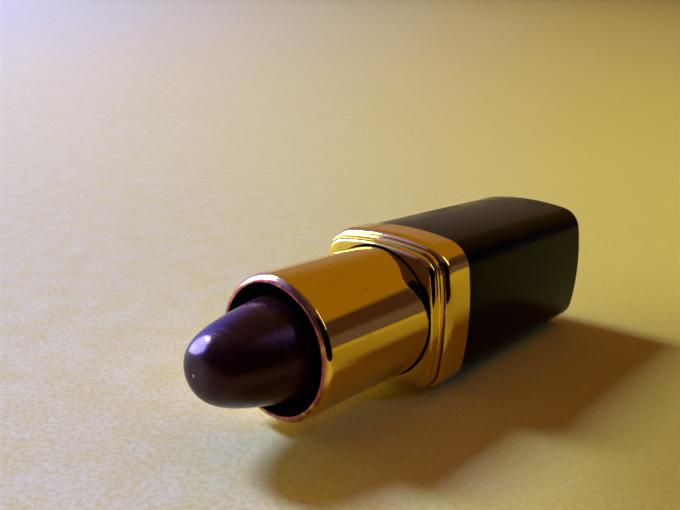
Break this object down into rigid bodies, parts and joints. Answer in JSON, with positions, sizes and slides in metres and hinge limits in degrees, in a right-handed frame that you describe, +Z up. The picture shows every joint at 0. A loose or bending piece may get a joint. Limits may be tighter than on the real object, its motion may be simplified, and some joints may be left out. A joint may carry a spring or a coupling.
{
  "type": "lipstick case",
  "caption": "Swivel-up lipstick case: cushion-square base with a stepped collar, a round sleeve that twists, and a stick that rises from it.",
  "frame": {"origin": "bottom centre of the bounding box, on the table under the middle of the case as it lies on its side", "axes": "+X along the case from the closed base end to the tip of the stick, +Y across it, +Z up"},
  "size_m": [0.0712, 0.0208, 0.0208],
  "materials": {
    "base_black": "gloss",
    "core_plastic": "moulded",
    "weight_steel": "turned",
    "label_paper": "coated paper, blank",
    "collar_gold": "polished",
    "mechanism_black": "moulded",
    "brake_rubber": "satin",
    "sleeve_gold": "polished gold anodised",
    "stick_wax": "satin wax"
  },
  "bodies": {
    "base": {"base_shell": "base_black", "base_core": "core_plastic", "base_weight": "weight_steel", "shade_label": "label_paper", "collar_ring": "collar_gold", "collar_band": "collar_gold", "inner_tube": "mechanism_black", "brake_ring": "brake_rubber"},
    "sleeve": {"outer_sleeve": "sleeve_gold", "cam_tube": "mechanism_black"},
    "carrier": {"carrier_cup": "mechanism_black", "colour_stick": "stick_wax"}
  },
  "joints": [
    {"name": "sleeve_twist", "type": "hinge", "parent": "base", "child": "sleeve", "pos_m": [0, 0, 0.0104], "axis": [-1, 0, 0], "range_deg": [-360, 205.7]},
    {"name": "stick_lift", "type": "slide", "parent": "base", "child": "carrier", "axis": [1, 0, 0], "range_m": [-0.014, 0.008]}
  ],
  "couplings": [
    {"joint": "stick_lift", "follows": "sleeve_twist", "m_per_rad": 0.0022282}
  ]
}
